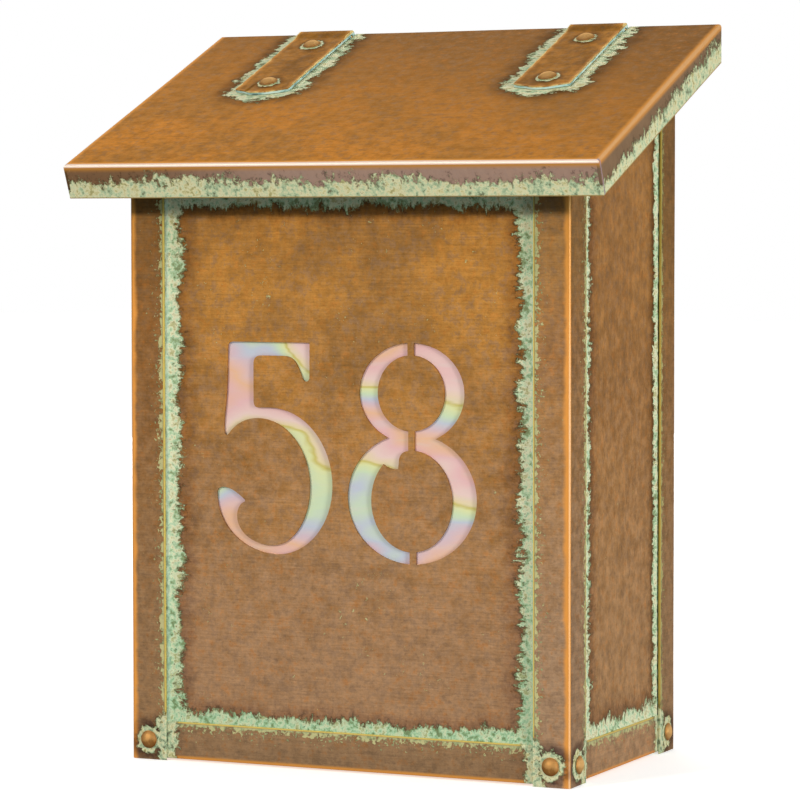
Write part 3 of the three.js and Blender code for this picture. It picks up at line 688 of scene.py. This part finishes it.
def strap_material():
    paint = Paint("copper_straps", on_lid=True)
    metal = Metal(paint, STRAP_TONES, LID_GRAIN)
    _, _, h = paint.axes()
    inside = paint.product(strap_distance(paint), -1.0)
    wander = paint.noise(6, shift=19)
    ragged_edge_distance = paint.scaled(wander, -4, paint.plus(inside, 2.0))
    metal.polish_and_highlight(paint.ramp(ragged_edge_distance, 3.2, 1.2, 0.0, 0.6), STRAP_WORN)
    metal.polish_and_highlight(paint.ramp(ragged_edge_distance, 1.0, 0.5), STRAP_RIM, 0.45, 0.5)
    metal.darken(paint.ramp(paint.noise(16, shift=21), 0.44, 0.6), SCORCH, 0.35)
    centre = (strap_low.x + strap_high.x) / 2
    rivets = []
    for row in ("front", "rear"):
        low, high = lid_box(f"strap_rivet_right_{row}")
        rivets.append(paint.away(paint.mirrored(), (centre, (low.y + high.y) / 2, STRAP_TOP)))
    near_rivet = paint.smallest(*rivets)
    metal.darken(paint.ramp(near_rivet, 11, 5.5), SCORCH, 0.8)
    ring = crust_depth(paint, paint.minus(near_rivet, 4.8), 1.8, 25)
    add_crust(metal, ring, CREAMY_CRUST, burn=0.0, thickness=0.1)
    low_down = paint.ramp(h, mm(STRAP_TOP) - 0.25, mm(STRAP_TOP) - 0.5)
    streaks = paint.noise(3, detail=5, roughness=0.65, shift=29, stretch=(0.3, 0.3, 1.5))
    on_edge = paint.product(low_down, paint.ramp(inside, 2.0, 1.2))
    metal.cover(on_edge, paint.gradient(streaks, STRAP_CRUST), thickness=0.06)
    return metal.finish()


# -------- meshes

SHARP_ANGLE = 28  # degrees between two faces that meet in an edge
FLAT_ANGLE = math.radians(0.5)
HOUSING_STEP, LID_STEP, GLASS_STEP = 16, 12, 3  # millimetres between the cuts for bending
DENT_SIZE = 90 * MM
DENT_DEPTH = 0.22 * MM
LID_DENT_DEPTH = 1.4 * DENT_DEPTH
FRONT_DENTS, SIDE_DENTS, LID_DENTS = 3.0, 7.0, 11.0  # seeds
LATHE_SEGMENTS = 40


def add_object(name, data):
    thing = bpy.data.objects.new(name, data)
    scene.collection.objects.link(thing)
    return thing


def to_mesh(name, body):
    """Turns a bmesh into a mesh and frees it."""
    mesh = bpy.data.meshes.new(name)
    body.to_mesh(mesh)
    body.free()
    return mesh


def smooth_mesh(name, body, angle=SHARP_ANGLE):
    mesh = to_mesh(name, body)
    mesh.polygons.foreach_set("use_smooth", [True] * len(mesh.polygons))
    mesh.set_sharp_from_angle(angle=math.radians(angle))
    mesh.update()
    return mesh


def keep_piece(name, mesh, material, body, slot, *nodes, matrix=None):
    """Puts a finished mesh into the scene in place of CAD nodes."""
    piece = add_object(name, mesh)
    if matrix is not None:
        piece.matrix_world = matrix
    mesh.materials.append(material)
    bpy.context.view_layer.update()
    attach(piece, body)
    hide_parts(*nodes)
    return piece


def soften(piece, width, segments=2):
    """Rounds the piece's sharp edges, by a width in millimetres."""
    bevel = piece.modifiers.new("edges", "BEVEL")
    bevel.width = width * MM
    bevel.segments = segments
    bevel.angle_limit = math.radians(SHARP_ANGLE)
    bevel.harden_normals = True


def join_flat_faces(body):
    bmesh.ops.dissolve_limit(body, angle_limit=FLAT_ANGLE, verts=body.verts, edges=body.edges)


def body_copy(node, into=None):
    """A CAD node's solid as a bmesh with its corners joined and its flat faces whole."""
    body = bmesh.new()
    body.from_mesh(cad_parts[node].data)
    if into is not None:
        bmesh.ops.transform(body, matrix=into, verts=body.verts)
    bmesh.ops.remove_doubles(body, verts=body.verts, dist=0.002 * MM)
    join_flat_faces(body)
    return body


def slice_body(body, axis, step, low=None):
    """Cuts the body's faces on planes across an axis, so that they can bend between them. The
    step is in millimetres, and the planes start at low or at the body's own end."""
    values = [vertex.co[axis] for vertex in body.verts]
    low = min(values) if low is None else low
    high = max(values)
    count = int((high - low) / (step * MM))
    normal = Vector((0, 0, 0))
    normal[axis] = 1
    for i in range(1, count):
        place = Vector((0, 0, 0))
        place[axis] = low + (high - low) * i / count
        everything = body.verts[:] + body.edges[:] + body.faces[:]
        bmesh.ops.bisect_plane(body, geom=everything, plane_co=place, plane_no=normal, dist=1e-7)


def dent(across, along, seed):
    """How far hand-worked sheet stands back from flat at a place on it, from 0 to 1."""
    value = noise.noise(Vector((across / DENT_SIZE, along / DENT_SIZE, seed)))
    return 0.5 + 0.5 * max(-1.0, min(1.0, value * 1.6))


def bend_housing(body):
    """The front and the sides of the box stand back a little from their planes, all pieces alike.
    The powers keep this near those planes."""
    for vertex in body.verts:
        x, y, z = vertex.co
        near_front = min(1.0, abs(y / BODY_Y)) ** 8
        near_side = math.copysign(min(1.0, abs(x / BODY_X)) ** 12, x)
        vertex.co.y += DENT_DEPTH * dent(x, z, FRONT_DENTS) * near_front
        vertex.co.x -= DENT_DEPTH * dent(y, z, SIDE_DENTS) * near_side


def rebuild(node, material, slot, axes, edge=0.2):
    """A flat CAD piece of the box as hand-worked sheet, cut across the axes to bend it."""
    body = body_copy(node)
    for axis in axes:
        slice_body(body, axis, HOUSING_STEP)
    bend_housing(body)
    mesh = smooth_mesh(node, body)
    soften(keep_piece(node + "_sheet", mesh, material, "housing", slot, node), edge)


# -------- build the box

X, Y, Z = range(3)
SIDES = (("left", -1), ("right", 1))
POST_EDGE = 0.25
CLIP_EDGE = 0.15

panel_paint = front_panel_material()
side_paint = side_panel_material()
post_paint = post_material()
rail_paint = rail_material()
plain_paint = plain_material()
rivet_paint = rivet_material("copper_rivets", rgb("cb9a5a"), 0.85)
# The second rivet material, for the strap and side rivets, is a lighter copy with less darkening below:
# partly painted light, because the strap rivets face up to the lamps.
lighter_rivet_paint = rivet_material("copper_rivets_lighter", rgb("f7c880"), 0.4)
pin_paint = pin_material()
strap_paint = strap_material()

rebuild("front_panel", panel_paint, "panel_copper", (X, Z))
for side, _ in SIDES:
    rebuild(f"{side}_side_panel", side_paint, "panel_copper", (Y, Z))
    for end in ("front", "rear"):
        rebuild(f"{end}_{side}_post", post_paint, "angle_copper", (Z,), POST_EDGE)
    rebuild(f"bottom_{side}_rail", rail_paint, "angle_copper", (Y,), POST_EDGE)
for node in ("bottom_front_rail", "top_front_rail"):
    rebuild(node, rail_paint, "angle_copper", (X,), POST_EDGE)
for node in ("back_plate", "floor_pan"):
    rebuild(node, plain_paint, "plain_copper", (X,))
for side, _ in SIDES:
    rebuild(f"hinge_leaf_{side}", plain_paint, "plain_copper", (), CLIP_EDGE)
    for level in ("upper", "lower"):
        rebuild(f"glass_clip_{level}_{side}", plain_paint, "plain_copper", (), CLIP_EDGE)


def seam_bead(name, material, corner, along, inwards, outwards, length, height, seed):
    """A lumpy fillet of solder and verdigris on a panel, against the sheet that lies over it. It
    starts at a corner on the panel's face and runs along the seam."""
    stations = int(length / (1.1 * MM))
    columns = 7
    mean_width = 3.4 * MM
    under = 0.7 * MM  # reaches in below the upper sheet
    root = 0.5 * MM  # reaches into the panel
    sunk = 0.15 * MM  # how far its thin edge lies in the panel
    body = bmesh.new()
    rows = []
    for i in range(stations + 1):
        s = length * i / stations
        swelling = noise.fractal(Vector((s / (6 * MM), seed, 0)), 0.8, 2.2, 3)
        width = mean_width * max(0.35, min(1.6, 1 + 0.9 * swelling))
        row = []
        for j in range(columns):
            across = -under + (width + under) * j / (columns - 1)
            fall = max(0.0, 1 - max(0.0, across) / width)
            lump = noise.noise(Vector((s, across, seed * MM)) / (1.7 * MM))
            rise = height * min(1.0, fall ** 1.3 * (0.85 + 0.45 * lump)) - sunk * (1 - fall)
            row.append(corner + along * s + inwards * across + outwards * rise)
        for across in (width, -under):
            row.append(corner + along * s + inwards * across - outwards * root)
        rows.append([body.verts.new(point) for point in row])
    count = len(rows[0])
    for near, far in zip(rows, rows[1:]):
        for j in range(count):
            k = (j + 1) % count
            body.faces.new((near[j], near[k], far[k], far[j]))
    for row in (rows[0], rows[-1]):
        body.faces.new(row)
    bmesh.ops.recalc_face_normals(body, faces=body.faces)
    bend_housing(body)
    keep_piece(name, smooth_mesh(name, body, 60), material, "housing", "panel_copper")


X_AXIS, Y_AXIS, Z_AXIS = Matrix.Identity(3)
panel_face_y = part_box("front_panel")[0].y
panel_face_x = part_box("right_side_panel")[1].x
seam_height = TOP_RAIL_Z - RAIL_Z
seam_depth = REAR_POST_Y - POST_Y
front_height = front_post[1].z - RAIL_Z - 2 * MM
rear_height = front_height + seam_depth * math.tan(LID_SLOPE)
for side, sign in SIDES:
    outwards = sign * X_AXIS
    front = Vector((sign * POST_X, panel_face_y, RAIL_Z))
    corner = Vector((sign * panel_face_x, POST_Y, RAIL_Z))
    rear = Vector((corner.x, REAR_POST_Y, RAIL_Z))
    seam_bead(f"seam_front_{side}", panel_paint, front, Z_AXIS, -outwards, -Y_AXIS, seam_height,
              1.7 * MM, 3 + sign)
    for end, start, along, inwards, length, height, seed in (
            ("front", corner, Z_AXIS, Y_AXIS, front_height, 1.6, 8),
            ("rear", rear, Z_AXIS, -Y_AXIS, rear_height, 1.25, 13),
            ("bottom", corner, Y_AXIS, Z_AXIS, seam_depth, 0.9, 18)):
        seam_bead(f"seam_{side}_{end}", side_paint, start, along, inwards, outwards, length,
                  height * MM, seed + sign)
seam_bead("seam_front_bottom", panel_paint, Vector((-POST_X, panel_face_y, RAIL_Z)), X_AXIS, Z_AXIS,
          -Y_AXIS, 2 * POST_X, 0.9 * MM, 23)


def lathe(profile):
    """A solid turned about Z from (radius, height) points that start and end on the axis."""
    turns = [2 * math.pi * i / LATHE_SEGMENTS for i in range(LATHE_SEGMENTS)]
    body = bmesh.new()
    rings = []
    for radius, height in profile:
        points = [(radius * math.cos(turn), radius * math.sin(turn), height) for turn in turns]
        if radius == 0:
            points = points[:1]
        rings.append([body.verts.new(point) for point in points])
    for lower, upper in zip(rings, rings[1:]):
        for i in range(LATHE_SEGMENTS):
            corners = [lower[i % len(lower)], lower[(i + 1) % len(lower)],
                       upper[(i + 1) % len(upper)], upper[i % len(upper)]]
            body.faces.new(list(dict.fromkeys(corners)))
    bmesh.ops.recalc_face_normals(body, faces=body.faces)
    return body


def rivet_mesh(name, head, tail, seed):
    """A domed rivet, hammered by hand. Head and tail are (radius, height); its seat is at 0."""
    radius, height = head
    tail_radius, tail_height = tail
    end = -tail_height
    tail_sheet = 1.1 * MM
    shank = 1.8 * MM
    rim = 0.16 * height
    rings = 9
    profile = [(0, end)]
    if tail_radius > shank:
        profile += [(tail_radius * 0.9, end), (tail_radius, end + 0.2 * MM),
                    (tail_radius * 0.97, end + tail_sheet), (shank, end + tail_sheet)]
    else:
        profile += [(shank, end)]
    profile += [(shank, 0), (radius * 0.96, 0), (radius, rim)]
    sphere = (radius ** 2 + height ** 2) / (2 * height)
    for i in range(1, rings):
        to_go = 1 - i / rings
        turn = math.asin(min(1.0, radius / sphere)) * to_go
        drop = sphere * (1 - math.cos(turn))
        profile.append((sphere * math.sin(turn), height - drop + rim * to_go * 0.5))
    profile.append((0, height))
    body = lathe(profile)
    for vertex in body.verts:
        if vertex.co.z > 0:
            blow = noise.noise(Vector((vertex.co.x, vertex.co.y, seed * MM)) / (2.6 * MM))
            narrowing = min(1.0, 1 + 0.045 * blow)
            vertex.co.x *= narrowing
            vertex.co.y *= narrowing
            vertex.co.z = min(height, vertex.co.z * min(1.0, 0.985 + 0.07 * blow))
    return smooth_mesh(name, body, 50)


def turned(direction):
    """Matrix that turns +Z towards a direction."""
    return Z_AXIS.rotation_difference(Vector(direction)).to_matrix().to_4x4()


def place_rivet(node, direction, into, body, seed, material):
    """Rebuilds one CAD rivet whose head points along direction in the frame given by into. It is
    rolled so that its Y points upwards, give or take 25 degrees."""
    forward = into @ turned(direction)
    back = forward.inverted()
    up = back.to_3x3() @ Z_AXIS
    roll = math.atan2(up.y, up.x) - math.pi / 2 + math.radians(seed * 37 % 50 - 25)
    points = [back @ vertex.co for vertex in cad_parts[node].data.vertices]
    low, high = min(p.z for p in points), max(p.z for p in points)
    middle = Vector([(min(p[i] for p in points) + max(p[i] for p in points)) / 2 for i in (X, Y)])
    radii = [(p.xy - middle).length for p in points]
    radius = max(radii)
    seat = min(p.z for p, r in zip(points, radii) if r > radius * 0.97)
    tail = max(r for p, r in zip(points, radii) if p.z < low + 0.1 * MM)
    mesh = rivet_mesh(node, (radius, high - seat), (tail, seat - low), seed)
    matrix = forward @ Matrix.Translation((*middle, seat)) @ Matrix.Rotation(roll, 4, "Z")
    keep_piece(node + "_dome", mesh, material, body, "rivet_copper", node, matrix=matrix)


UPRIGHT = Matrix.Identity(4)
seed = 0
for side, sign in SIDES:
    for node in (f"corner_rivet_front_{side}", f"top_rivet_front_{side}", f"post_rivet_lower_{side}",
                 f"post_rivet_upper_{side}", f"leaf_rivet_{side}_1", f"leaf_rivet_{side}_2"):
        seed += 5
        place_rivet(node, (0, -1, 0), UPRIGHT, "housing", seed, rivet_paint)
    for end in ("front", "rear"):
        seed += 5
        node = f"corner_rivet_{side}_{end}"
        place_rivet(node, (sign, 0, 0), UPRIGHT, "housing", seed, lighter_rivet_paint)
        node = f"strap_rivet_{side}_{end}"
        place_rivet(node, (0, 0, 1), LID_FRAME, "lid", seed + 2, lighter_rivet_paint)


def pin_piece(side):
    """A hinge pin with chamfered ends."""
    low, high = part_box(f"hinge_pin_{side}")
    radius = (high.z - low.z) / 2
    half = (high.x - low.x) / 2
    chamfer = 0.5 * MM
    body = lathe([(0, -half), (radius - chamfer, -half), (radius, -half + chamfer),
                  (radius, half - chamfer), (radius - chamfer, half), (0, half)])
    matrix = Matrix.Translation((low + high) / 2) @ turned(X_AXIS)
    keep_piece(f"hinge_pin_{side}_rod", smooth_mesh(f"pin_{side}", body, 30), pin_paint, "housing",
               "pin_brass", f"hinge_pin_{side}", matrix=matrix)


def glass_piece():
    """The pane, with the shallow ripples of rolled glass on both faces."""
    body = body_copy("glass_pane")
    for axis in (X, Z):
        slice_body(body, axis, GLASS_STEP)
    low, high = pane
    for vertex in body.verts:
        x, y, z = vertex.co
        ripple = noise.fractal(Vector((x * 0.6, 0, z)) / (14 * MM), 0.9, 2.1, 3)
        depth = 0.14 * MM * max(0.0, min(1.0, 0.5 + 0.7 * ripple))
        vertex.co.y += depth if y < (low.y + high.y) / 2 else -depth
    mesh = smooth_mesh("glass", body, 40)
    keep_piece("glass_pane_rippled", mesh, glass_material(), "housing", "art_glass", "glass_pane")


for side, _ in SIDES:
    pin_piece(side)
glass_piece()


# -------- lid and straps

def block(low, high):
    body = bmesh.new()
    bmesh.ops.create_cube(body, size=1.0)
    bmesh.ops.scale(body, vec=Vector(high) - Vector(low), verts=body.verts)
    bmesh.ops.translate(body, vec=(Vector(high) + Vector(low)) / 2, verts=body.verts)
    return body


def carve(body, tools):
    """Cuts the tool bodies out of a body and gives the rest as a bmesh."""
    piece = add_object("carved", to_mesh("carved", body))
    cutters = [add_object("cutter", to_mesh("cutter", tool)) for tool in tools]
    for cutter in cutters:
        modifier = piece.modifiers.new("cut", "BOOLEAN")
        modifier.operation = "DIFFERENCE"
        modifier.object = cutter
    shown = piece.evaluated_get(bpy.context.evaluated_depsgraph_get())
    rest = bmesh.new()
    rest.from_mesh(shown.to_mesh())
    shown.to_mesh_clear()
    for thing in cutters + [piece]:
        mesh = thing.data
        bpy.data.objects.remove(thing)
        bpy.data.meshes.remove(mesh)
    return rest


def keep_on_lid(name, mesh_name, body, material, slot, node):
    """Turns a body in the lid's own frame into a piece of the lid."""
    bmesh.ops.transform(body, matrix=LID_FRAME, verts=body.verts)
    return keep_piece(name, smooth_mesh(mesh_name, body), material, "lid", slot, node)


def lid_piece():
    """The lid, whose flanges meet in an open seam at each front corner."""
    seam_top = -2.4 * MM
    tools = []
    for side in (-1, 1):
        ends = sorted((side * (lid_top_high.x - 2 * LID_SHEET), side * (lid_top_high.x + LID_SHEET)))
        low = (ends[0], LID_SHEET, lid_top_low.z - LID_SHEET)
        tools.append(block(low, (ends[1], LID_SHEET + LID_SEAM, seam_top)))
    body = carve(body_copy("lid_shell", INTO_LID), tools)
    join_flat_faces(body)
    for axis in (X, Y):
        slice_body(body, axis, LID_STEP)
    for vertex in body.verts:
        vertex.co.z -= LID_DENT_DEPTH * dent(vertex.co.x, vertex.co.y, LID_DENTS)
    soften(keep_on_lid("lid_shell_sheet", "lid", body, lid_material(), "lid_copper", "lid_shell"), 0.22)


def strap_rise(s, pin, top_of_roll):
    """Height of a strap's upper face: level, then rising onto the roll round the pin."""
    along = max(0.0, min(1.0, (s - pin) / (10 * MM) + 1.06))
    return STRAP_TOP + (top_of_roll - STRAP_TOP) * along * along * (3 - 2 * along)


def strap_front(off, sign):
    """How far behind its tip a strap's front edge is, at off from its middle."""
    slant = CLIP_SLOPE * max(0.0, abs(off) - STRAP_TIP)
    wobble = noise.noise(Vector((off / (5 * MM), sign * 3.0, 0.5)))
    return slant + 0.5 * MM * (1 + wobble)


def strap_piece(side, sign):
    """A strap with a clipped front end, hand-cut edges, and a rear end rolled round its pin."""
    body = body_copy(f"hinge_strap_{side}", INTO_LID)
    pin_low, pin_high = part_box(f"hinge_pin_{side}")
    pin = INTO_LID @ ((pin_low + pin_high) / 2)
    middle = sign * (strap_low.x + strap_high.x) / 2
    half = (strap_high.x - strap_low.x) / 2
    shoulder = strap_low.y + 9 * MM
    hair = 0.05 * MM
    slice_body(body, X, 1.6)
    slice_body(body, Y, 5, low=shoulder)
    slice_body(body, Y, 0.7, low=pin.y - 11 * MM)
    for vertex in body.verts:
        x, s, h = vertex.co
        off = x - middle
        if s < shoulder - 0.5 * MM:
            vertex.co.y = strap_low.y + strap_front(off, sign)
        on_top = h > STRAP_TOP - hair and s < pin.y - 2.8 * MM
        on_roll = h > STRAP_TOP + hair and s < pin.y
        if on_top or on_roll:
            vertex.co.z = max(h, strap_rise(s, pin.y, strap_high.z))
        if abs(off) > half - hair:
            waviness = noise.noise(Vector((s / (9 * MM), sign, off)))
            vertex.co.x -= math.copysign(0.25 * MM, off) * (1 + waviness)
    piece = keep_on_lid(f"hinge_strap_{side}_plate", f"strap_{side}", body, strap_paint, "hinge_copper",
                        f"hinge_strap_{side}")
    soften(piece, 0.3, 3)


lid_piece()
for side, sign in SIDES:
    strap_piece(side, sign)


# -------- studio

CAMERA_PLACE = (0.78982, -1.78655, 0.0967)
CAMERA_LENS = 157.1  # millimetres, on a sensor of 36
CAMERA_TURN, CAMERA_DOWN, CAMERA_ROLL = (math.radians(angle) for angle in (24.893, 2.885, -0.078))
FLOOR_REACH = 8
FLOOR_GAP = 0.3 * MM  # between the floor and the box
AIM = Vector((0, -0.08, 0.0))  # where the lamps point: the middle of the box
LAMPS = [  # name, kind, place, strength, size, colour
    ("key", "SUN", (-1.25, -2.5, 1.1), 1.35, 7, (1.0, 0.97, 0.93)),
    ("right_box", "AREA", (2.2, -1.0, 0.1), 50, (0.5, 1.6)),
    ("rear_box", "AREA", (1.1, 2.3, 0.0), 5.5, (1.2, 1.6)),
    ("back_box", "AREA", (-1.4, 2.4, 0.0), 32, (1.2, 1.6)),
    ("over_lid", "AREA", (-0.9, 1.3, 1.5), 5, (1.6, 1.2)),
]
WORLD_LIGHT = [(0.0, 0.62), (0.3, 0.5), (0.48, 0.24), (0.55, 0.26), (0.8, 0.42)]


def add_camera():
    """The camera stands to the right, a little above the middle of the box, and looks down."""
    data = bpy.data.cameras.new("camera")
    data.lens = CAMERA_LENS
    data.clip_end = 50
    camera = add_object("camera", data)
    camera.matrix_world = Matrix.Translation(CAMERA_PLACE) @ \
        Matrix.Rotation(CAMERA_TURN, 4, "Z") @ Matrix.Rotation(math.pi / 2 - CAMERA_DOWN, 4, "X") @ \
        Matrix.Rotation(CAMERA_ROLL, 4, "Z")
    scene.camera = camera


def add_floor():
    body = bmesh.new()
    level = cad_box[0][2] - FLOOR_GAP
    corners = [(-1, -1), (1, -1), (1, 1), (-1, 1)]
    body.faces.new([body.verts.new((x * FLOOR_REACH, y * FLOOR_REACH, level)) for x, y in corners])
    floor = add_object("floor", to_mesh("floor", body))
    material = bpy.data.materials.new("floor")
    tree = NodeTree(material)
    values = {"Base Color": (0.85, 0.85, 0.85, 1), "Roughness": 0.9,
              "Emission Color": (1, 1, 1, 1), "Emission Strength": 0.55}
    tree.add("OutputMaterial", {"Surface": tree.add("BsdfPrincipled", values).outputs[0]})
    floor.data.materials.append(material)
    floor.visible_glossy = False
    floor.visible_diffuse = False


def add_lamp(name, kind, place, strength, size, colour=(1, 1, 1)):
    """A lamp at a place. The size of a sun is in degrees, that of an area is (width, height)."""
    data = bpy.data.lights.new(name, kind)
    data.energy = strength
    data.color = colour
    if kind == "SUN":
        data.angle = math.radians(size)
    else:
        data.shape = "RECTANGLE"
        data.size, data.size_y = size
    turn = (AIM - Vector(place)).to_track_quat("-Z", "Y").to_matrix().to_4x4()
    add_object(name, data).matrix_world = Matrix.Translation(place) @ turn


def add_world():
    """White as the camera sees it. The light it gives, by height from 0 at the bottom to 1, is
    weak at the horizon and stronger from above and below, as from a white ceiling and floor."""
    world = bpy.data.worlds.new("studio")
    scene.world = world
    tree = NodeTree(world)
    upward = tree.add("SeparateXYZ", {0: tree.add("TexCoord").outputs["Generated"]}).outputs[2]
    height = tree.add("MapRange", {"Value": upward, "From Min": -1}).outputs["Result"]
    light = tree.add("ValToRGB", {0: height})
    elements = light.color_ramp.elements
    for place, strength in WORLD_LIGHT:
        elements.new(place).color = (strength, strength, strength, 1)
    elements.remove(elements[0])
    elements.remove(elements[len(elements) - 1])
    seen = tree.add("LightPath").outputs["Is Camera Ray"]
    colours = {0: seen, 6: light.outputs[0], 7: (1, 1, 1, 1)}
    pick = tree.add("Mix", colours, data_type="RGBA")
    background = tree.add("Background", {"Color": pick.outputs[2]})
    tree.add("OutputWorld", {"Surface": background.outputs[0]})


add_camera()
add_floor()
add_world()
for lamp in LAMPS:
    add_lamp(*lamp)
scene.view_settings.view_transform = "Standard"
